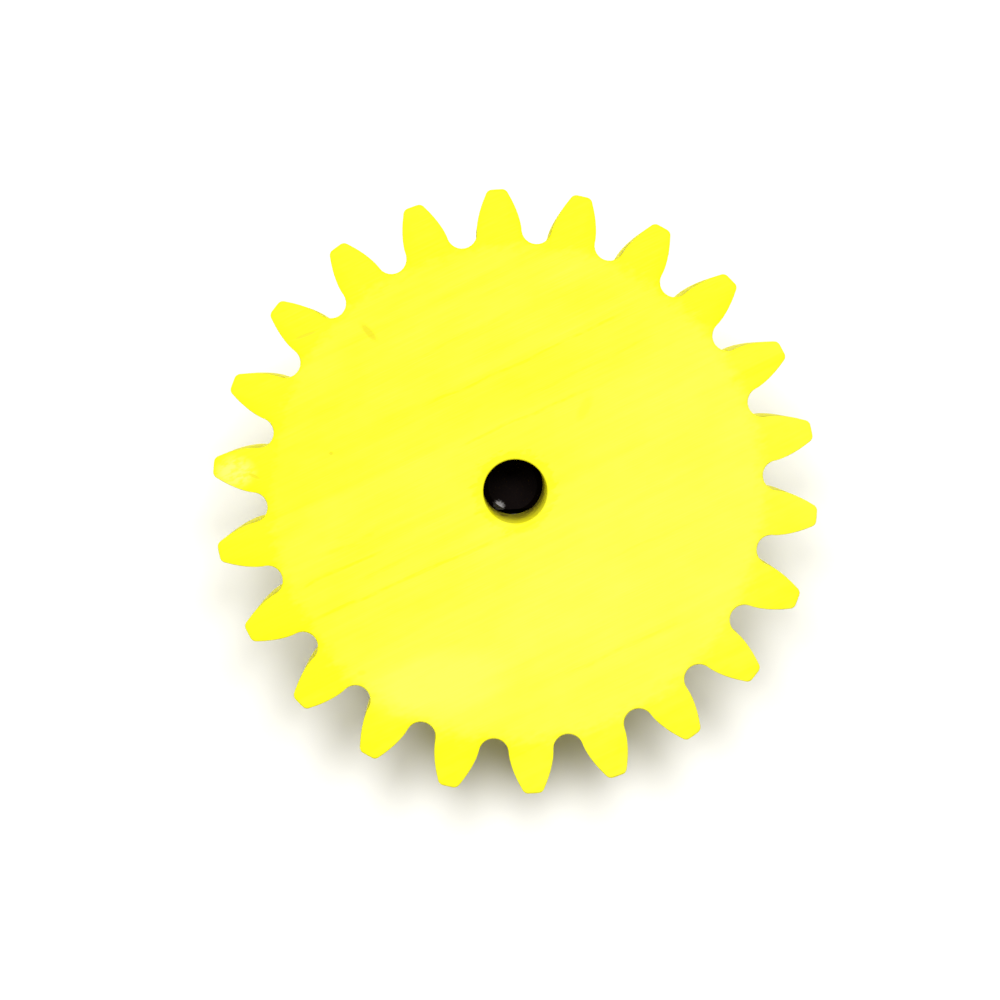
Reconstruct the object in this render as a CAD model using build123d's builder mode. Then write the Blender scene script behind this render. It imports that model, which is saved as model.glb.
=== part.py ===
from build123d import *
import math
import os

os.makedirs("parts", exist_ok=True)

# Extruder gear assembly. The shaft's axis is Z, the gear's front face is up, and the rear bearing
# stands on Z = 0. One tooth points along +Y. All sizes are in millimetres.

# Spur gear
module = 2.0
teeth = 22
pressure_angle = math.radians(20)
pitch_r = module * teeth / 2
base_r = pitch_r * math.cos(pressure_angle)
tip_r = pitch_r + module
root_r = 19.68
tip_round = 0.45
gear_width = 8.0
gear_bore_r = 2.53
bore_chamfer = 0.15
boss_r = 9.0
boss_len = 6.0

# Shaft
shaft_r = 2.495
flat_y = -2.0
shaft_recess = 8.0
end_chamfer = 0.45

# Bearings, 5 x 16 x 5
ring_bore_r = 2.5
ring_outer_r = 8.0
bearing_w = 5.0
ball_pitch_r = 5.25
ball_r = 1.389
ball_count = 8
groove_r = 1.42
inner_shoulder_r = 4.2
outer_shoulder_r = 6.3
shield_seat_r = 6.7
shield_in_r = 4.28
shield_z0 = 2.05
shield_t = 0.25
cage_in_r = 4.85
cage_out_r = 5.65
cage_half = 1.75
pocket_r = 1.45

# Stack along the shaft
shim_t = 0.5
wheel_len = 6.0
clip_t = 0.7
clip_gap = 0.3
rear_bearing_z = bearing_w / 2
rear_shim_z = bearing_w
wheel_z = rear_shim_z + shim_t
front_shim_z = wheel_z + wheel_len
front_bearing_z = front_shim_z + shim_t + bearing_w / 2
clip_z = front_bearing_z + bearing_w / 2
boss_z = clip_z + clip_t + clip_gap
gear_z = boss_z + boss_len
gear_top = gear_z + gear_width
shaft_z0 = 0.3
shaft_z1 = gear_top - shaft_recess

# Hobbed wheel
wheel_r = 4.5
hob_r = 1.0
hob_depth = 0.55
hob_teeth = 24
notch_depth = 0.4

# Grub screws and their inserts, on radial axes through the boss
screw_z = boss_z + boss_len / 2
screw_r = 1.48
screw_len = 5.0
socket_af = 1.5
insert_r = 2.1
insert_len = 5.0
insert_in = 3.9


def polar(radius, angle):
    return (radius * math.cos(angle), radius * math.sin(angle))


def half_tooth(radius):
    # Half of the tooth's angle at a radius, from the involute of the base circle.
    roll = math.acos(min(1.0, base_r / radius))
    start = math.pi / (2 * teeth) + math.tan(pressure_angle) - pressure_angle
    return start - (math.tan(roll) - roll)


flank_steps = 7
flank = []
for i in range(flank_steps):
    flank.append(base_r + (tip_r - base_r) * (i / (flank_steps - 1)) ** 1.4)
tooth_pitch = 2 * math.pi / teeth

# The toothed wheel, its rear boss, the bore, and the two radial holes for the inserts.
with BuildPart() as drive_gear:
    with BuildSketch(Plane.XY.offset(gear_z)) as outline:
        with BuildLine():
            for i in range(teeth):
                mid = math.pi / 2 + i * tooth_pitch
                rising = [polar(r, mid - half_tooth(r)) for r in flank]
                falling = [polar(r, mid + half_tooth(r)) for r in reversed(flank)]
                following = polar(base_r, mid + tooth_pitch - half_tooth(base_r))
                Spline(*rising)
                ThreePointArc(rising[-1], polar(tip_r, mid), falling[0])
                Spline(*falling)
                ThreePointArc(falling[-1], polar(root_r, mid + tooth_pitch / 2), following)
        make_face()
        tips = outline.vertices().filter_by(lambda v: math.hypot(v.X, v.Y) > tip_r - 0.01)
        fillet(tips, tip_round)
    extrude(amount=gear_width)
    with BuildSketch(Plane.XY.offset(boss_z)):
        Circle(boss_r)
    extrude(amount=boss_len)
    boss_rim = drive_gear.edges().filter_by(GeomType.CIRCLE).sort_by(Axis.Z)[0]
    chamfer(boss_rim, 0.4)
    with BuildSketch(Plane.XY.offset(boss_z)):
        Circle(gear_bore_r)
    extrude(amount=boss_len + gear_width, mode=Mode.SUBTRACT)
    for z in (boss_z, gear_top):
        rims = drive_gear.edges().filter_by(GeomType.CIRCLE)
        rims = rims.filter_by(lambda e: abs(e.radius - gear_bore_r) < 0.01)
        chamfer(rims.filter_by_position(Axis.Z, z - 0.01, z + 0.01), bore_chamfer)
    for outward in ((0, -1, 0), (1, 0, 0)):
        with BuildSketch(Plane(origin=(0, 0, screw_z), z_dir=outward)):
            Circle(screw_r + 0.12)
        extrude(amount=boss_r, mode=Mode.SUBTRACT)
        start = Vector(*outward) * insert_in + Vector(0, 0, screw_z)
        with BuildSketch(Plane(origin=start, z_dir=outward)):
            Circle(insert_r + 0.01)
        extrude(amount=boss_r, mode=Mode.SUBTRACT)
drive_gear.part.label = "drive_gear"
export_step(drive_gear.part, "parts/drive_gear.step")

# The D-cut shaft, chamfered at both ends, with the groove for the clip.
with BuildPart() as drive_shaft:
    with BuildSketch(Plane.XY.offset(shaft_z0)):
        Circle(shaft_r)
    extrude(amount=shaft_z1 - shaft_z0)
    ends = drive_shaft.edges().filter_by(GeomType.CIRCLE).sort_by(Axis.Z)
    chamfer(ends[-1], end_chamfer)
    ends = drive_shaft.edges().filter_by(GeomType.CIRCLE).sort_by(Axis.Z)
    chamfer(ends[0], end_chamfer)
    with BuildSketch(Plane.XY.offset(shaft_z0)):
        with Locations((0, flat_y - 1)):
            Rectangle(2 * shaft_r, 2)
    extrude(amount=shaft_z1 - shaft_z0, mode=Mode.SUBTRACT)
    with BuildSketch(Plane.XY.offset(clip_z)):
        Circle(shaft_r + 0.5)
        Circle(2.0, mode=Mode.SUBTRACT)
    extrude(amount=clip_t + 0.04, mode=Mode.SUBTRACT)
drive_shaft.part.label = "drive_shaft"
export_step(drive_shaft.part, "parts/drive_shaft.step")

# The wheel that bites the filament: a concave groove round it, notched into teeth, and a D-bore.
hob_z = wheel_z + wheel_len / 2
hob_centre_r = wheel_r - hob_depth + hob_r
with BuildPart() as hobbed_wheel:
    with BuildSketch(Plane.XZ):
        with Locations((wheel_r / 2, hob_z)):
            Rectangle(wheel_r, wheel_len)
        with Locations((hob_centre_r, hob_z)):
            Circle(hob_r, mode=Mode.SUBTRACT)
    revolve(axis=Axis.Z)
    rims = hobbed_wheel.edges().filter_by(GeomType.CIRCLE).sort_by(Axis.Z)
    chamfer([rims[0], rims[-1]], 0.3)
    with BuildSketch(Plane.XY.offset(hob_z - 1.15)):
        with PolarLocations(wheel_r - hob_depth, hob_teeth):
            Polygon((-notch_depth, 0), (0.7, 0.42), (0.7, -0.42), align=None)
    extrude(amount=2.3, mode=Mode.SUBTRACT)
    with BuildSketch(Plane.XY.offset(wheel_z)):
        Circle(shaft_r + 0.02)
        with Locations((0, flat_y - 0.02 - 1)):
            Rectangle(2 * wheel_r, 2, mode=Mode.SUBTRACT)
    extrude(amount=wheel_len, mode=Mode.SUBTRACT)
hobbed_wheel.part.label = "hobbed_wheel"
export_step(hobbed_wheel.part, "parts/hobbed_wheel.step")

# Two shims, each between the wheel and a bearing's inner ring.
for name, z in (("rear_shim", rear_shim_z), ("front_shim", front_shim_z)):
    with BuildPart() as shim:
        with BuildSketch(Plane.XY.offset(z)):
            Circle(3.5)
            Circle(2.55, mode=Mode.SUBTRACT)
        extrude(amount=shim_t)
    shim.part.label = name
    export_step(shim.part, "parts/" + name + ".step")

# The E-shaped clip: an open ring with three lugs that sit in the shaft's groove.
with BuildPart() as e_clip:
    with BuildSketch(Plane.XY.offset(clip_z)):
        Circle(4.6)
        Circle(3.1, mode=Mode.SUBTRACT)
        with Locations((0, 4)):
            Rectangle(4.4, 8, mode=Mode.SUBTRACT)
        for angle in (180, 270, 360):
            with Locations(Location((0, 0, 0), (0, 0, angle))):
                with Locations((2.8, 0)):
                    Rectangle(1.5, 1.7)
        Circle(2.02, mode=Mode.SUBTRACT)
    extrude(amount=clip_t)
e_clip.part.label = "e_clip"
export_step(e_clip.part, "parts/e_clip.step")

# Two headless screws with hexagon sockets. One presses on the shaft's flat, one on its round side.
screw_seats = (((0, -1, 0), -flat_y), ((1, 0, 0), shaft_r + 0.005))
with BuildPart() as grub_screws:
    for outward, tip in screw_seats:
        start = Vector(*outward) * tip + Vector(0, 0, screw_z)
        with BuildSketch(Plane(origin=start, z_dir=outward)):
            Circle(screw_r - 0.5)
        extrude(amount=0.5, taper=-45)
        start = start + Vector(*outward) * 0.5
        with BuildSketch(Plane(origin=start, z_dir=outward)):
            Circle(screw_r)
        extrude(amount=screw_len - 0.5)
        start = start + Vector(*outward) * (screw_len - 0.5)
        with BuildSketch(Plane(origin=start, z_dir=outward)):
            RegularPolygon(socket_af / 2, 6, major_radius=False)
        extrude(amount=-1.8, mode=Mode.SUBTRACT)
grub_screws.part.label = "grub_screws"
export_step(grub_screws.part, "parts/grub_screws.step")

# Two brass inserts with a waist between their bands.
with BuildPart() as thread_inserts:
    for outward in ((0, -1, 0), (1, 0, 0)):
        start = Vector(*outward) * insert_in + Vector(0, 0, screw_z)
        with BuildSketch(Plane(origin=start, z_dir=outward)):
            Circle(insert_r)
            Circle(screw_r + 0.02, mode=Mode.SUBTRACT)
        extrude(amount=insert_len)
        start = start + Vector(*outward) * 1.9
        with BuildSketch(Plane(origin=start, z_dir=outward)):
            Circle(insert_r + 0.1)
            Circle(insert_r - 0.2, mode=Mode.SUBTRACT)
        extrude(amount=1.0, mode=Mode.SUBTRACT)
thread_inserts.part.label = "thread_inserts"
export_step(thread_inserts.part, "parts/thread_inserts.step")

# Two shielded ball bearings, six pieces each.
half_w = bearing_w / 2
for side, z in (("rear", rear_bearing_z), ("front", front_bearing_z)):
    with BuildPart() as inner_ring:
        with BuildSketch(Plane.XZ):
            with Locations(((ring_bore_r + inner_shoulder_r) / 2, z)):
                Rectangle(inner_shoulder_r - ring_bore_r, bearing_w)
            with Locations((ball_pitch_r, z)):
                Circle(groove_r, mode=Mode.SUBTRACT)
        revolve(axis=Axis.Z)
        bore_rims = inner_ring.edges().filter_by(GeomType.CIRCLE)
        chamfer(bore_rims.filter_by(lambda e: abs(e.radius - ring_bore_r) < 0.01), 0.2)
    inner_ring.part.label = side + "_inner_ring"
    export_step(inner_ring.part, "parts/" + side + "_inner_ring.step")

    with BuildPart() as outer_ring:
        with BuildSketch(Plane.XZ):
            with Locations(((outer_shoulder_r + ring_outer_r) / 2, z)):
                Rectangle(ring_outer_r - outer_shoulder_r, bearing_w)
            with Locations((ball_pitch_r, z)):
                Circle(groove_r, mode=Mode.SUBTRACT)
            seat_h = half_w - shield_z0
            for end in (-1, 1):
                with Locations((outer_shoulder_r, z + end * (half_w - seat_h / 2))):
                    Rectangle(2 * (shield_seat_r - outer_shoulder_r), seat_h, mode=Mode.SUBTRACT)
        revolve(axis=Axis.Z)
        outer_rims = outer_ring.edges().filter_by(GeomType.CIRCLE)
        chamfer(outer_rims.filter_by(lambda e: abs(e.radius - ring_outer_r) < 0.01), 0.3)
    outer_ring.part.label = side + "_outer_ring"
    export_step(outer_ring.part, "parts/" + side + "_outer_ring.step")

    with BuildPart() as balls:
        with Locations((0, 0, z)):
            with PolarLocations(ball_pitch_r, ball_count):
                Sphere(ball_r)
    balls.part.label = side + "_balls"
    export_step(balls.part, "parts/" + side + "_balls.step")

    with BuildPart() as cage:
        with BuildSketch(Plane.XY.offset(z - cage_half)):
            Circle(cage_out_r)
            Circle(cage_in_r, mode=Mode.SUBTRACT)
        extrude(amount=2 * cage_half)
        for i in range(ball_count):
            spoke = (*polar(1, i * 2 * math.pi / ball_count), 0)
            with BuildSketch(Plane(origin=(0, 0, z), z_dir=spoke)):
                Circle(pocket_r)
            extrude(amount=ring_outer_r, mode=Mode.SUBTRACT)
    cage.part.label = side + "_cage"
    export_step(cage.part, "parts/" + side + "_cage.step")

    shield_levels = (("_lower_shield", z - shield_z0 - shield_t), ("_upper_shield", z + shield_z0))
    for name, level in shield_levels:
        with BuildPart() as shield:
            with BuildSketch(Plane.XY.offset(level)):
                Circle(shield_seat_r)
                Circle(shield_in_r, mode=Mode.SUBTRACT)
            extrude(amount=shield_t)
        shield.part.label = side + name
        export_step(shield.part, "parts/" + side + name + ".step")
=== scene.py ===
"""An extruder gear assembly seen along its shaft: looks, finer meshes, floor, light and camera."""
import math
import random

import bmesh
import bpy
from mathutils import Matrix, Vector


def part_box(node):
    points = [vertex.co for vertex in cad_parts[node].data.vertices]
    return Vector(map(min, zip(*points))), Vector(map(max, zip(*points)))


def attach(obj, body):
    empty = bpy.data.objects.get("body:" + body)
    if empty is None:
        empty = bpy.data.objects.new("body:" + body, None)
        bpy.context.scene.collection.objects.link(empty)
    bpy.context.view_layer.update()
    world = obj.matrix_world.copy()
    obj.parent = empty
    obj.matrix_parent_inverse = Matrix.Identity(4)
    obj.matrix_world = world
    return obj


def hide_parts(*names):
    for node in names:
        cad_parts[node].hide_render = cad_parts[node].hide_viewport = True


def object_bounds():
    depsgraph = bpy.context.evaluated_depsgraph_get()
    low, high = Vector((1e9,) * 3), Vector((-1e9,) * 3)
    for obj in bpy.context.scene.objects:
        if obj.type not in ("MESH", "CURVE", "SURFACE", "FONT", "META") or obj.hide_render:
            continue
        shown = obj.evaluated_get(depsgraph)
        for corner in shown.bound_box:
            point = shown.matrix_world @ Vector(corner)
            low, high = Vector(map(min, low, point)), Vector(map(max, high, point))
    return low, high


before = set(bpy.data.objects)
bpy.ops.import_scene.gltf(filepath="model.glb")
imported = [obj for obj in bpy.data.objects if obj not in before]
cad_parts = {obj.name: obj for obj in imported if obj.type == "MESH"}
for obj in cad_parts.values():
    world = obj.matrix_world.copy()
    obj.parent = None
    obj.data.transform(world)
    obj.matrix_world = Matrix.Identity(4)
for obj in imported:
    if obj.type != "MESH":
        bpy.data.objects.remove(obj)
cad_low, cad_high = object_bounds()
random.seed(22)

MM = 0.001
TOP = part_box("drive_gear")[1].z

# The gear's sizes in millimetres, as in the CAD model
MODULE, TEETH = 2.0, 22
PRESSURE_ANGLE = math.radians(20)
PITCH = 2 * math.pi / TEETH
PITCH_R = MODULE * TEETH / 2
BASE_R = PITCH_R * math.cos(PRESSURE_ANGLE)
TIP_R = PITCH_R + MODULE
ROOT_R = 19.68
BORE_R = 2.53
BOSS_R = 9.0
BOSS_Z = 18.0
GEAR_Z = 24.0
GEAR_TOP = 32.0
SHAFT_TOP = 24.0
SCREW_Z = 21.0
INSERT_HOLE = (2.11, 3.9, 10.0)
SCREW_HOLE = (1.6, 2.0, 4.5)

# Rounds and print layers of the finer gear, in millimetres
TIP_ROUND = 0.52
EDGE = 0.22
LAYER = 0.2
# One layer's outline: share of its height, depth of the groove there
LAYER_SHAPE = ((0.0, 0.024), (0.3, 0.0), (0.7, 0.0))
# How far the boss reaches into the disc, so that the two meshes share no face
OVERLAP = 0.05
BOSS_CHAMFER = 0.4
# The range of each layer's unevenness: an inset on the disc, and a change of radius on the boss
DISC_WOBBLE = (-0.04, -0.028)
BOSS_WOBBLE = (-0.012, 0.0)
# The first layer is cut back by this much, as prints are to keep it from spreading on the bed.
FIRST_LAYER_INSET = 0.1
# The rounded front edge lies as far out as the layers below it.
EDGE_INSET = -0.03


# ---------------------------------------------------------------- node helpers

def material(name):
    mat = bpy.data.materials.new(name)
    mat.use_nodes = True
    tree = mat.node_tree
    return mat, tree, tree.nodes["Principled BSDF"]


def node(tree, kind, **values):
    """A new node. Each value goes to the input of that name, or else to the setting."""
    made = tree.nodes.new(kind)
    for key, value in values.items():
        if key in made.inputs:
            made.inputs[key].default_value = value
        else:
            setattr(made, key, value)
    return made


def feed(tree, socket, value):
    """Gives an input a number, a colour or the output of another node."""
    if isinstance(value, (int, float, tuple)):
        socket.default_value = value
    else:
        tree.links.new(value, socket)


def place(tree, size=(1, 1, 1), turn=0.0, at=(0, 0, 0)):
    """Object coordinates from a point in metres, turned about Z and divided by a size in mm."""
    coords = tree.nodes.new("ShaderNodeTexCoord")
    mapping = node(tree, "ShaderNodeMapping", vector_type="TEXTURE", Location=at)
    mapping.inputs["Scale"].default_value = [v * MM for v in size]
    mapping.inputs["Rotation"].default_value = (0, 0, turn)
    tree.links.new(coords.outputs["Object"], mapping.inputs["Vector"])
    return mapping.outputs["Vector"]


def split(tree, vector):
    made = tree.nodes.new("ShaderNodeSeparateXYZ")
    tree.links.new(vector, made.inputs[0])
    return made.outputs


def noise(tree, size, detail, rough=0.6, turn=0.0):
    """Noise from 0 to 1 with lumps of a size in millimetres."""
    made = node(tree, "ShaderNodeTexNoise", Scale=1.0, Detail=detail, Roughness=rough)
    tree.links.new(place(tree, size, turn), made.inputs["Vector"])
    return made.outputs["Fac"]


def spread(tree, value, low, high, to_low, to_high, ramp="LINEAR"):
    """Maps low to high onto to_low to to_high, and holds the ends beyond them."""
    made = node(tree, "ShaderNodeMapRange", interpolation_type=ramp)
    made.inputs["From Min"].default_value = low
    made.inputs["From Max"].default_value = high
    made.inputs["To Min"].default_value = to_low
    made.inputs["To Max"].default_value = to_high
    tree.links.new(value, made.inputs["Value"])
    return made.outputs["Result"]


def sway(tree, noisy, reach):
    """Noise turned into a value that goes from -reach to reach."""
    return spread(tree, noisy, 0.3, 0.7, -reach, reach)


def gate(tree, value, off, on):
    """A smooth step from 0 at off to 1 at on, where either may be the larger."""
    if off > on:
        return spread(tree, value, on, off, 1.0, 0.0, "SMOOTHSTEP")
    return spread(tree, value, off, on, 0.0, 1.0, "SMOOTHSTEP")


def maths(tree, operation, a, b=None, clamp=False):
    made = node(tree, "ShaderNodeMath", operation=operation, use_clamp=clamp)
    feed(tree, made.inputs[0], a)
    if b is not None:
        feed(tree, made.inputs[1], b)
    return made.outputs[0]


def plus(tree, a, b):
    return maths(tree, "ADD", a, b)


def minus(tree, a, b):
    return maths(tree, "SUBTRACT", a, b)


def times(tree, a, b, clamp=False):
    return maths(tree, "MULTIPLY", a, b, clamp)


def total(tree, terms):
    value = terms[0]
    for term in terms[1:]:
        value = plus(tree, value, term)
    return value


def blend_colour(tree, factor, a, b):
    made = node(tree, "ShaderNodeMix", data_type="RGBA")
    for socket, value in ((made.inputs[0], factor), (made.inputs[6], a), (made.inputs[7], b)):
        feed(tree, socket, value)
    return made.outputs[2]


def bump(tree, height, distance, strength=1.0, below=None):
    made = node(tree, "ShaderNodeBump", Distance=distance, Strength=strength)
    tree.links.new(height, made.inputs["Height"])
    if below is not None:
        tree.links.new(below, made.inputs["Normal"])
    return made.outputs["Normal"]


# ---------------------------------------------------------------- the gear's plastic

STREAK_TURN = math.radians(21.5)
FACE_TURN = math.radians(-3.5)

# Noises in the plastic: size of the lumps (mm), detail, roughness, turn
WAVER = ((7, 7, 7), 2.0, 0.5)
BANDS = ((70, 3.0, 70), 1.0, 0.5, STREAK_TURN)
CLOUD = ((6, 3.5, 6), 3.0, 0.55, STREAK_TURN)
FINE = ((14, 0.45, 14), 2.0, 0.55, STREAK_TURN)
PATCHES = ((1.1, 0.5, 1.1), 3.0, 0.6, STREAK_TURN)
SCRATCHES = ((4, 0.07, 4), 2.0, 0.6, STREAK_TURN)
GRAIN = ((0.12, 0.12, 0.12), 2.0)

# How much deeper the colour is in the teeth, in the ring about the bore and in the strokes
TEETH_TONE, BORE_TONE, STROKE_TONE = 0.46, 0.3, 0.38
# Where each of them sets in, in mm: radii for the solid walls' colour, radii and heights for the
# painted shade down the bore
TEETH_WALL = (18.8, 20.6)
BORE_WALL = (3.5, 3.0)
BORE_SHADE_WALL = (2.62, 2.55)
BORE_SHADE_DOWN = (GEAR_TOP - 0.6, GEAR_TOP - 7.0)
# The face pales to the right and, by this share of that, downwards, over a reach in mm
SLOPE_UP, SLOPE_REACH = 0.9, 22.0

DEEP_YELLOW = (0.90, 0.865, 0.007, 1)
PALE_YELLOW = (0.93, 0.91, 0.085, 1)
CHALK_YELLOW = (0.92, 0.9, 0.13, 1)
MARK_YELLOW = (0.68, 0.62, 0.012, 1)
# The colour of the painted shade deep in the bore
BORE_SHADE_BROWN = (0.16, 0.11, 0.02, 1)

# Dark strokes left on the front face by the print head: across (mm), from, to, width, strength
STROKES = (
    (9.2, -4.0, 14.5, 0.16, 0.8),
    (5.05, -3.5, 9.5, 0.2, 0.9),
    (-2.75, -19.5, 2.0, 0.2, 0.8),
    (0.1, -20.0, -10.5, 0.22, 0.8),
    (-1.3, -15.5, -9.0, 0.3, 0.5),
    (1.7, -17.5, -10.0, 0.35, 0.6),
    (2.6, -16.0, -11.5, 0.3, 0.5),
    (-14.9, -3.0, 8.0, 0.22, 0.6),
    (6.6, 3.0, 16.0, 0.2, 0.35),
    (-8.2, 4.0, 15.0, 0.16, 0.3),
    (13.0, -4.0, 7.0, 0.2, 0.3),
)
# The length in mm over which a stroke fades at its ends, and its share at full strength across
STROKE_FADE = 2.5
STROKE_CORE = 0.2

# Spots on the front face: across (mm), up, long, wide, turn (degrees), strength
MARKS = (
    (-11.6, 12.6, 1.4, 0.45, -48.0, 1.0),
    (-16.6, 12.4, 1.5, 0.22, 20.0, 0.9),
    (5.5, 6.6, 1.5, 0.6, 62.0, 0.55),
    (-14.6, 3.0, 0.27, 0.22, 0.0, 1.0),
    (-20.7, 1.2, 0.8, 0.22, -25.0, 0.9),
    (-12.2, -14.4, 0.5, 0.3, 10.0, 0.6),
)
# Pale patches on the front face: the first, low on the face, is a painted sheen of the light; the
# second is a fainter pale patch
SHEEN_AND_PALE_PATCHES = ((-6.0, -15.2, 7.5, 3.4, 12.0, 0.42), (4.0, -9.0, 9.0, 4.0, 35.0, 0.14))
CHALKY_TIP = ((-22.2, 1.5, 2.0, 1.6, 5.0, 1.0),)
# How deep a spot goes (mm), and the share of its radius at full strength
SPOT_DEPTH = 3
SPOT_CORE = 0.35


def spot_mask(tree, across, up, long, wide, turn):
    """1 in the middle of an ellipse on the front face, falling to 0 at its edge."""
    c, s = math.cos(FACE_TURN), math.sin(FACE_TURN)
    at = ((across * c - up * s) * MM, (across * s + up * c) * MM, GEAR_TOP * MM)
    reach = node(tree, "ShaderNodeVectorMath", operation="LENGTH")
    vector = place(tree, (long, wide, SPOT_DEPTH), math.radians(turn) + FACE_TURN, at)
    tree.links.new(vector, reach.inputs[0])
    return gate(tree, reach.outputs["Value"], 1.0, SPOT_CORE)


def spots(tree, rows):
    """The sum of the masks of rows like those of MARKS, each at its own strength."""
    masks = [times(tree, spot_mask(tree, *row[:-1]), row[-1]) for row in rows]
    return total(tree, masks)


def strokes(tree, along, across):
    """The print head's straight strokes, each fading at both ends and both sides."""
    lines = []
    for at, start, end, width, strength in STROKES:
        off = maths(tree, "ABSOLUTE", minus(tree, across, at))
        line = gate(tree, off, width, width * STROKE_CORE)
        begins = gate(tree, along, start, start + STROKE_FADE)
        ends = gate(tree, along, end, end - STROKE_FADE)
        lines.append(times(tree, times(tree, line, times(tree, begins, ends)), strength))
    return total(tree, lines)


def plastic():
    """Printed plastic with raster bands and strokes, and a deeper colour where walls are solid."""
    mat, tree, shader = material("printed_plastic")
    along, across, height = split(tree, place(tree, turn=STREAK_TURN))
    right, up, _ = split(tree, place(tree, turn=FACE_TURN))
    across = plus(tree, across, sway(tree, noise(tree, *WAVER), 0.25))
    squares = [maths(tree, "POWER", part, 2.0) for part in (right, up)]
    radius = maths(tree, "SQRT", total(tree, squares))

    # How pale the face is: streaks and clouds, paler towards its lower right, with a painted sheen
    # low on the face
    bands = gate(tree, noise(tree, *BANDS), 0.46, 0.52)
    patchy = noise(tree, *PATCHES)
    slope = minus(tree, right, times(tree, up, SLOPE_UP))
    tone = total(tree, [
        spread(tree, slope, -SLOPE_REACH, SLOPE_REACH, -0.22, 0.2),
        spread(tree, bands, 0.0, 1.0, 0.38, 0.5),
        sway(tree, noise(tree, *CLOUD), 0.12),
        sway(tree, noise(tree, *FINE), 0.05),
        spots(tree, SHEEN_AND_PALE_PATCHES),
    ])

    # Solid walls: the teeth, and a ring about the bore
    rim = plus(tree, radius, sway(tree, patchy, 0.5))
    tone = minus(tree, tone, times(tree, gate(tree, rim, *TEETH_WALL), TEETH_TONE))
    tone = minus(tree, tone, times(tree, gate(tree, rim, *BORE_WALL), BORE_TONE))

    broken = spread(tree, patchy, 0.35, 0.6, 0.25, 1.0)
    dark = times(tree, strokes(tree, along, across), broken)
    tone = maths(tree, "SUBTRACT", tone, times(tree, dark, STROKE_TONE), True)
    colour = blend_colour(tree, tone, DEEP_YELLOW, PALE_YELLOW)

    # The chalky tip of one tooth, and small marks
    chalk = times(tree, spots(tree, CHALKY_TIP), spread(tree, patchy, 0.4, 0.55, 0.2, 1.0))
    colour = blend_colour(tree, chalk, colour, CHALK_YELLOW)
    marks = spots(tree, MARKS)
    colour = blend_colour(tree, times(tree, marks, 0.9, True), colour, MARK_YELLOW)

    # Painted shade down the bore: the wall darkens to brown with depth, in patches
    inside = times(tree, gate(tree, radius, *BORE_SHADE_WALL), gate(tree, height, *BORE_SHADE_DOWN))
    bore_shade = times(tree, inside, spread(tree, patchy, 0.3, 0.65, 0.35, 0.95))
    colour = blend_colour(tree, bore_shade, colour, BORE_SHADE_BROWN)
    tree.links.new(colour, shader.inputs["Base Color"])

    scratch = noise(tree, *SCRATCHES)
    tree.links.new(spread(tree, scratch, 0.3, 0.7, 0.5, 0.68), shader.inputs["Roughness"])
    shader.inputs["IOR"].default_value = 1.46
    shader.inputs["Specular IOR Level"].default_value = 0.14

    pits = bump(tree, minus(tree, 0.0, plus(tree, marks, dark)), 0.03 * MM, 0.6)
    lines = bump(tree, scratch, 0.04 * MM, 0.5, pits)
    grain = bump(tree, noise(tree, *GRAIN), 0.01 * MM, 0.4, lines)
    tree.links.new(grain, shader.inputs["Normal"])
    return mat


# ---------------------------------------------------------------- metals

BARE_STEEL = (0.14, 0.135, 0.14, 1)
# The middle of the bare place on the shaft's front edge
BARE_SIDE = math.radians(-127.0)
BARE_R = 2.12
# Distances in mm from there within which the steel is bare, and beyond which it is black
BARE_IN, BARE_OUT = 0.6, 0.92


def metal(name, colour, dark, rough, patch=1.5, grain=(0.1, 0.1, 0.1)):
    """A metal with two tones in patches and a fine grain, whose sizes are in millimetres."""
    mat, tree, shader = material(name)
    shader.inputs["Metallic"].default_value = 1.0
    smear = spread(tree, noise(tree, (patch, patch, patch), 3.0), 0.35, 0.7, 0.0, 1.0)
    tree.links.new(blend_colour(tree, smear, dark, colour), shader.inputs["Base Color"])
    fine = noise(tree, grain, 2.0)
    tree.links.new(spread(tree, fine, 0.25, 0.75, *rough), shader.inputs["Roughness"])
    tree.links.new(bump(tree, fine, 0.004 * MM, 0.5), shader.inputs["Normal"])
    return mat


def blackened():
    """Black oxide, rubbed through to bright steel at one place on the shaft's front edge."""
    mat, tree, shader = material("black_oxide")
    coords = tree.nodes.new("ShaderNodeTexCoord")
    spot = node(tree, "ShaderNodeVectorMath", operation="DISTANCE")
    tree.links.new(coords.outputs["Object"], spot.inputs[0])
    middle = Vector((BARE_R * math.cos(BARE_SIDE), BARE_R * math.sin(BARE_SIDE), SHAFT_TOP))
    spot.inputs[1].default_value = middle * MM
    chips = times(tree, noise(tree, (0.16, 0.16, 0.16), 3.0), 0.7 * MM)
    reach = plus(tree, spot.outputs["Value"], chips)
    bare = spread(tree, reach, BARE_IN * MM, BARE_OUT * MM, 1.0, 0.0)
    smear = noise(tree, (0.8, 0.8, 0.8), 3.0)
    coat = blend_colour(tree, smear, (0.002, 0.001, 0.001, 1), (0.004, 0.0022, 0.0022, 1))
    tree.links.new(blend_colour(tree, bare, coat, BARE_STEEL), shader.inputs["Base Color"])
    tree.links.new(bare, shader.inputs["Metallic"])
    fine = noise(tree, (0.08, 0.08, 0.08), 2.0)
    rough = plus(tree, spread(tree, fine, 0.25, 0.75, 0.3, 0.45), times(tree, bare, 0.15))
    tree.links.new(rough, shader.inputs["Roughness"])
    shader.inputs["Specular IOR Level"].default_value = 0.01
    tree.links.new(bump(tree, fine, 0.002 * MM, 0.3), shader.inputs["Normal"])
    return mat


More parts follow.
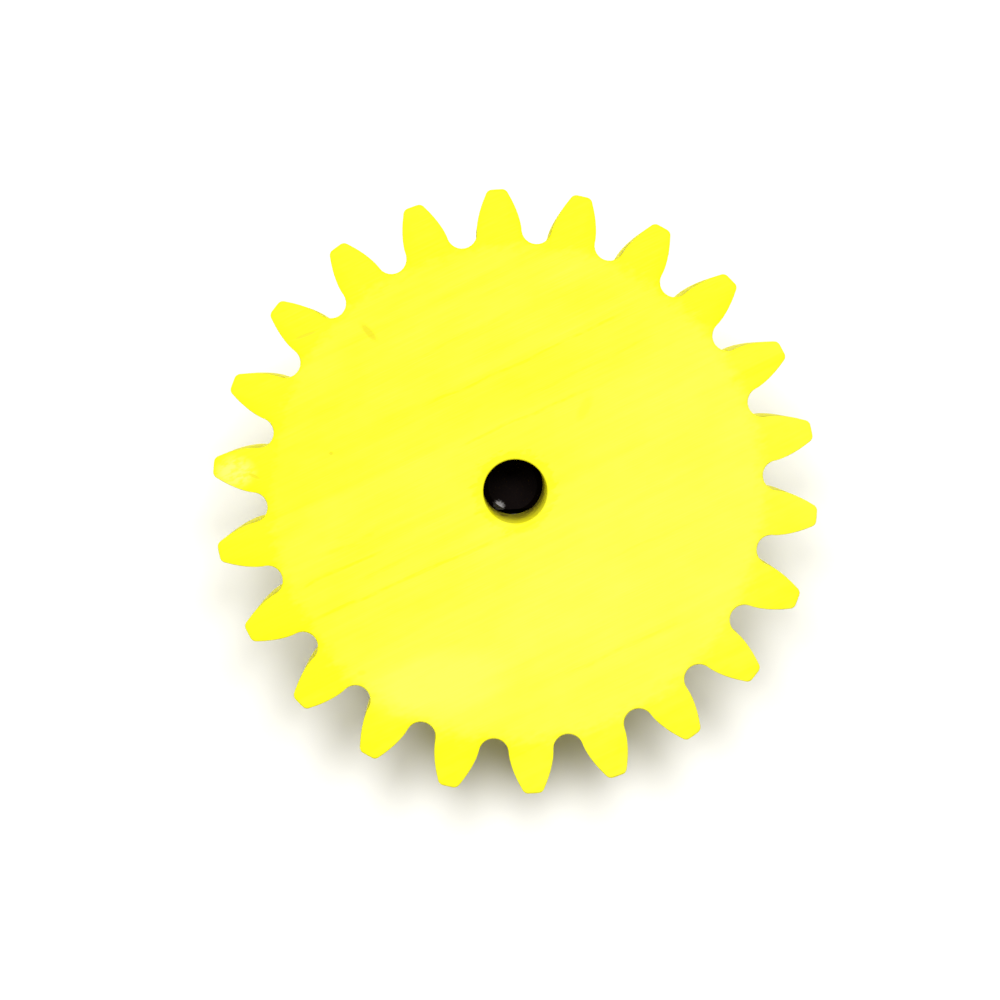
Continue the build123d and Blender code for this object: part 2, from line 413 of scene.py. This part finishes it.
yellow = plastic()
black_oxide = blackened()
ground_steel = metal("ground_steel", (0.62, 0.63, 0.65, 1), (0.5, 0.51, 0.53, 1),
                     rough=(0.12, 0.26), patch=3.0, grain=(3, 3, 0.1))
stamped_steel = metal("stamped_steel", (0.55, 0.55, 0.56, 1), (0.42, 0.42, 0.43, 1),
                      rough=(0.25, 0.42), patch=2.0)
ball_steel = metal("ball_steel", (0.75, 0.76, 0.78, 1), (0.68, 0.69, 0.7, 1),
                   rough=(0.04, 0.1), patch=2.0)
wheel_steel = metal("wheel_steel", (0.5, 0.5, 0.51, 1), (0.36, 0.36, 0.37, 1),
                    rough=(0.2, 0.38), patch=1.0, grain=(2, 2, 0.1))
spring_steel = metal("spring_steel", (0.16, 0.155, 0.15, 1), (0.09, 0.088, 0.085, 1),
                     rough=(0.3, 0.5))
oiled_steel = metal("oiled_steel", (0.05, 0.048, 0.046, 1), (0.022, 0.021, 0.02, 1),
                    rough=(0.25, 0.4), patch=0.8)
brass = metal("brass", (0.72, 0.5, 0.19, 1), (0.58, 0.38, 0.13, 1), rough=(0.18, 0.34))

finishes = {
    "drive_shaft": black_oxide,
    "grub_screws": oiled_steel,
    "hobbed_wheel": wheel_steel,
    "thread_inserts": brass,
    "e_clip": spring_steel,
    "rear_shim": stamped_steel,
    "front_shim": stamped_steel,
}
for side in ("rear", "front"):
    finishes[side + "_inner_ring"] = ground_steel
    finishes[side + "_outer_ring"] = ground_steel
    finishes[side + "_balls"] = ball_steel
    finishes[side + "_cage"] = stamped_steel
for name, finish in finishes.items():
    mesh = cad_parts[name].data
    mesh.materials.clear()
    mesh.materials.append(finish)


# ---------------------------------------------------------------- the gear's outline

TIP_STEPS = 5
EDGE_STEPS = 5
FLANK_STEPS = 8
ROOT_STEPS = 6
# The power that sets the flank's points closer together towards its foot
FLANK_SPACING = 0.8
SEARCH_STEPS = 40


def half_tooth(radius):
    """Half of a tooth's angle at a radius, from the involute of the base circle."""
    roll = math.acos(min(1.0, BASE_R / radius))
    start = math.pi / (2 * TEETH) + math.tan(PRESSURE_ANGLE) - PRESSURE_ANGLE
    return start - (math.tan(roll) - roll)


def polar(radius, angle):
    return Vector((radius * math.cos(angle), radius * math.sin(angle)))


def flank_point(radius):
    return polar(radius, half_tooth(radius))


def flank_inward(radius):
    """The direction from a flank into the tooth."""
    along = flank_point(radius + 0.01) - flank_point(radius - 0.01)
    return Vector((along.y, -along.x)).normalized()


def tip_touch():
    """The radius where the tip's round, which also touches the tip circle, meets the flank."""
    low, high = TIP_R - 2 * TIP_ROUND, TIP_R
    for _ in range(SEARCH_STEPS):
        middle = (low + high) / 2
        centre = flank_point(middle) + flank_inward(middle) * TIP_ROUND
        if centre.length > TIP_R - TIP_ROUND:
            high = middle
        else:
            low = middle
    return middle


def half_outline():
    """Points (radius, angle) from the middle of a tooth's tip down one side to the gap's middle."""
    touch = tip_touch()
    centre = flank_point(touch) + flank_inward(touch) * TIP_ROUND
    outward = flank_point(touch) - centre
    first = math.atan2(centre.y, centre.x)
    last = math.atan2(outward.y, outward.x)
    points = [Vector((TIP_R, 0.0))]
    for i in range(TIP_STEPS + 1):
        points.append(centre + polar(TIP_ROUND, first + (last - first) * i / TIP_STEPS))
    for i in range(1, FLANK_STEPS + 1):
        share = (i / FLANK_STEPS) ** FLANK_SPACING
        points.append(flank_point(touch + (BASE_R - touch) * share))
    # The gap's floor is one round through the feet of both flanks and the root.
    foot = polar(BASE_R, PITCH / 2 - half_tooth(BASE_R))
    rise = foot.x - ROOT_R
    radius = (foot.y ** 2 + rise ** 2) / (2 * rise)
    swing = math.atan2(foot.y, radius - rise)
    for i in range(1, ROOT_STEPS + 1):
        point = Vector((ROOT_R + radius, 0.0)) - polar(radius, swing * (1 - i / ROOT_STEPS))
        point.rotate(Matrix.Rotation(PITCH / 2, 2))
        points.append(point)
    return [(point.length, math.atan2(point.y, point.x)) for point in points]


def gear_outline():
    """Points (radius, angle) all round the gear, with the middle of the first tooth at angle 0."""
    half = half_outline()
    tooth = [(r, -a) for r, a in reversed(half[1:-1])] + half
    return [(r, a + k * PITCH) for k in range(TEETH) for r, a in tooth]


# ---------------------------------------------------------------- meshes

def ring(bm, points, z, inset=0.0):
    """Vertices at (radius, angle) points, with angles from the tooth on +Y."""
    return [bm.verts.new((-(r - inset) * math.sin(a) * MM, (r - inset) * math.cos(a) * MM, z * MM))
            for r, a in points]


def skin(bm, rings):
    """Faces between each ring and the next, and between the last and the first."""
    for lower, upper in zip(rings, rings[1:] + rings[:1]):
        for i in range(len(lower)):
            j = (i + 1) % len(lower)
            bm.faces.new((lower[i], lower[j], upper[j], upper[i]))


def to_mesh(bm, name):
    bmesh.ops.recalc_face_normals(bm, faces=bm.faces)
    mesh = bpy.data.meshes.new(name)
    bm.to_mesh(mesh)
    bm.free()
    return mesh


def layer_levels(start, end):
    """Each layer's first height, and whether it is the lowest."""
    return [(start + i * LAYER, i == 0) for i in range(int(round((end - start) / LAYER)))]


def gear_mesh():
    """The toothed disc, with each printed layer's ridge on its flanks and round front edges."""
    outline = gear_outline()
    bm = bmesh.new()

    def circle(radius, z):
        return ring(bm, [(radius, a) for _, a in outline], z)

    # The back face, with a step that goes into the boss
    sunk = GEAR_Z - 2 * OVERLAP
    rings = [circle(BORE_R, sunk), circle(BOSS_R - 0.8, sunk), circle(BOSS_R - 0.7, GEAR_Z)]
    rings += [circle(14.0, GEAR_Z), circle(19.2, GEAR_Z)]
    for base, lowest in layer_levels(GEAR_Z, GEAR_TOP):
        wobble = random.uniform(*DISC_WOBBLE)
        if lowest:
            wobble += FIRST_LAYER_INSET
        for part, groove in LAYER_SHAPE:
            z = base + part * LAYER
            if z <= GEAR_TOP - EDGE:
                rings.append(ring(bm, outline, z, wobble + groove))
    for i in range(1, EDGE_STEPS + 1):
        turn = math.radians(90) * i / EDGE_STEPS
        z = GEAR_TOP - EDGE + EDGE * math.sin(turn)
        rings.append(ring(bm, outline, z, EDGE * (1 - math.cos(turn)) + EDGE_INSET))
    rings += [circle(19.0, GEAR_TOP), circle(12.0, GEAR_TOP), circle(BORE_R + 0.17, GEAR_TOP)]
    rings += [circle(BORE_R + 0.05, GEAR_TOP - 0.05), circle(BORE_R, GEAR_TOP - 0.17)]
    skin(bm, rings)
    return to_mesh(bm, "gear_wheel")


def lathe(profile, name, segments=128):
    """A closed (radius, z) profile in millimetres, turned about the shaft's axis."""
    bm = bmesh.new()
    angles = [2 * math.pi * i / segments for i in range(segments)]
    skin(bm, [ring(bm, [(radius, a) for a in angles], z) for radius, z in profile])
    return to_mesh(bm, name)


def boss_mesh():
    """The boss behind the disc, with print layers and a chamfered rear edge."""
    profile = [(BORE_R, GEAR_Z + OVERLAP), (BORE_R, BOSS_Z + 0.15), (BORE_R + 0.15, BOSS_Z),
               (BOSS_R - BOSS_CHAMFER, BOSS_Z)]
    for base, lowest in layer_levels(BOSS_Z, GEAR_Z):
        wobble = random.uniform(*BOSS_WOBBLE)
        for part, groove in LAYER_SHAPE:
            if lowest and part == 0.0:
                continue
            z = base + part * LAYER
            cut = max(0.0, BOSS_CHAMFER - (z - BOSS_Z))
            profile.append((BOSS_R - cut + wobble - groove, z))
    profile += [(BOSS_R, GEAR_Z), (BOSS_R, GEAR_Z + OVERLAP)]
    return lathe(profile, "gear_boss")


def add(name, mesh, finish, body, slot, *nodes):
    """A new visible piece that rides on a body and stands in for some of the CAD's nodes."""
    obj = bpy.data.objects.new(name, mesh)
    bpy.context.scene.collection.objects.link(obj)
    mesh.materials.append(finish)
    mesh.shade_smooth()
    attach(obj, body)
    if nodes:
        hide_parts(*nodes)
    return obj


def drill(obj, outward, radius, near, far):
    """Cuts a round radial hole at the screws' height between two distances from the axis in mm."""
    bm = bmesh.new()
    turn = outward.to_track_quat("Z", "Y").to_matrix().to_4x4()
    middle = (outward * (near + far) / 2 + Vector((0, 0, SCREW_Z))) * MM
    bmesh.ops.create_cone(bm, cap_ends=True, segments=64, radius1=radius * MM, radius2=radius * MM,
                          depth=(far - near) * MM, matrix=Matrix.Translation(middle) @ turn)
    tool = bpy.data.objects.new("drill", to_mesh(bm, "drill"))
    bpy.context.scene.collection.objects.link(tool)
    cut = obj.modifiers.new("hole", "BOOLEAN")
    cut.operation = "DIFFERENCE"
    cut.solver = "EXACT"
    cut.object = tool
    graph = bpy.context.evaluated_depsgraph_get()
    obj.data = bpy.data.meshes.new_from_object(obj.evaluated_get(graph))
    obj.modifiers.clear()
    bpy.data.objects.remove(tool)


gear = add("gear_wheel", gear_mesh(), yellow, "rotor", "gear_plastic", "drive_gear")
gear.data.set_sharp_from_angle(angle=math.radians(50))
boss = add("gear_boss", boss_mesh(), yellow, "rotor", "gear_plastic")
for outward in (Vector((0, -1, 0)), Vector((1, 0, 0))):
    drill(boss, outward, *SCREW_HOLE)
    drill(boss, outward, *INSERT_HOLE)
boss.data.set_sharp_from_angle(angle=math.radians(50))


# ---------------------------------------------------------------- the bearings' shields

# A pressed steel shield: rolled at its bore, dished, and stepped down to its seat near the rim.
# Each row is a radius and a depth below the shield's outer face, in millimetres.
SHIELD_BORE_R, SHIELD_RIM_R = 4.28, 6.7
SHIELD_PROFILE = (
    (SHIELD_BORE_R, 0.1), (4.3, 0.05), (4.36, 0.015), (4.44, 0.0), (4.56, 0.01), (4.7, 0.035),
    (5.7, 0.045), (5.86, 0.06), (5.98, 0.1), (6.2, 0.1), (6.32, 0.06), (6.42, 0.01), (6.56, 0.0),
    (6.64, 0.02), (6.69, 0.07), (SHIELD_RIM_R, 0.1),
)


def shield_mesh(name, inside, outside):
    out = 1.0 if outside > inside else -1.0
    profile = [(SHIELD_BORE_R, inside)]
    profile += [(radius, outside - out * depth) for radius, depth in SHIELD_PROFILE]
    profile.append((SHIELD_RIM_R, inside))
    return lathe(profile, name, 96)


for side in ("rear", "front"):
    for face in ("lower", "upper"):
        shield = "%s_%s_shield" % (side, face)
        bottom, top = [corner.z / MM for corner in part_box(shield)]
        inside, outside = (top, bottom) if face == "lower" else (bottom, top)
        cover = add("%s_%s_cover" % (side, face), shield_mesh(shield, inside, outside),
                    stamped_steel, side + "_race", "shield_steel", shield)
        cover.data.set_sharp_from_angle(angle=math.radians(40))


# ---------------------------------------------------------------- floor, light and camera

# Soft lights in an arc above the picture's top edge: distances in metres, turns in degrees
KEY_POWER = 2.85
KEY_SIZE = 0.15
KEY_HIGH = 0.8
KEY_OFF = 0.233
KEY_SIDE = 92.0
KEYS = (("key_left", 38.0), ("key_middle", 0.0), ("key_right", -38.0))
# Low lights all round, which keep the walls nearly as bright as the front face
SIDE_POWER = 0.03
SIDE_SIZE = 0.14
SIDE_HIGH = 0.09
SIDE_OFF = 0.42
SIDE_COUNT = 6
LAMP_AIM = Vector((0, 0, 0.02))
WORLD_COLOUR = (1.0, 0.76, 0.54, 1)
WORLD_STRENGTH = 0.075

# The camera looks straight down the shaft's axis but stands a little above it in the picture, so
# the face keeps its true shape while deeper parts slide up. It is rolled, so the tooth on +Y leans.
SPAN = 0.0793
LENS = 72.0
SENSOR = 36.0
SLIDE = math.tan(math.radians(4.2))
SLIDE_SIDE = math.radians(103.0)
ROLL = math.radians(3.5)
# How far the gear's centre is right of and above the middle of the frame, in frame widths
OFF_RIGHT, OFF_UP = 0.0152, 0.0085


def stage_floor():
    bm = bmesh.new()
    bmesh.ops.create_grid(bm, x_segments=1, y_segments=1, size=2.0)
    mesh = bpy.data.meshes.new("floor")
    bm.to_mesh(mesh)
    bm.free()
    mat, _, shader = material("floor_paper")
    shader.inputs["Base Color"].default_value = (0.9, 0.9, 0.9, 1)
    shader.inputs["Roughness"].default_value = 0.8
    mesh.materials.append(mat)
    obj = bpy.data.objects.new("floor", mesh)
    obj.location.z = cad_low.z
    bpy.context.scene.collection.objects.link(obj)


def lamp(name, turn, off, high, size, power):
    """A disc of light, at a turn in degrees about the shaft and a distance off its axis."""
    data = bpy.data.lights.new(name, "AREA")
    data.shape = "DISK"
    data.size = size
    data.energy = power
    obj = bpy.data.objects.new(name, data)
    turn = math.radians(turn)
    obj.location = (off * math.cos(turn), off * math.sin(turn), high)
    obj.rotation_mode = "QUATERNION"
    obj.rotation_quaternion = (obj.location - LAMP_AIM).to_track_quat("Z", "Y")
    obj.visible_camera = False
    bpy.context.scene.collection.objects.link(obj)


def light_stage(scene):
    for name, swing in KEYS:
        lamp(name, KEY_SIDE + swing, KEY_OFF, KEY_HIGH, KEY_SIZE, KEY_POWER)
    for i in range(SIDE_COUNT):
        lamp("side_%d" % i, 30 + i * 360 / SIDE_COUNT, SIDE_OFF, SIDE_HIGH, SIDE_SIZE, SIDE_POWER)
    world = bpy.data.worlds.new("studio")
    scene.world = world
    world.use_nodes = True
    background = world.node_tree.nodes["Background"]
    background.inputs["Color"].default_value = WORLD_COLOUR
    background.inputs["Strength"].default_value = WORLD_STRENGTH
    scene.view_settings.view_transform = "Standard"


def stand_camera(scene):
    right = Vector((math.cos(ROLL), -math.sin(ROLL), 0))
    up = Vector((math.sin(ROLL), math.cos(ROLL), 0))
    distance = SPAN * LENS / SENSOR
    middle = Vector((0, 0, TOP)) - (right * OFF_RIGHT + up * OFF_UP) * SPAN
    aside = Vector((math.cos(SLIDE_SIDE), math.sin(SLIDE_SIDE), 0)) * (SLIDE * distance)
    data = bpy.data.cameras.new("camera")
    data.lens = LENS
    data.sensor_width = SENSOR
    data.clip_start = 0.01
    data.shift_x = -aside.dot(right) / SPAN
    data.shift_y = -aside.dot(up) / SPAN
    camera = bpy.data.objects.new("camera", data)
    facing = Matrix((right, up, (0, 0, 1))).transposed().to_4x4()
    camera.matrix_world = Matrix.Translation(middle + aside + Vector((0, 0, distance))) @ facing
    scene.collection.objects.link(camera)
    scene.camera = camera


stage_floor()
light_stage(bpy.context.scene)
stand_camera(bpy.context.scene)
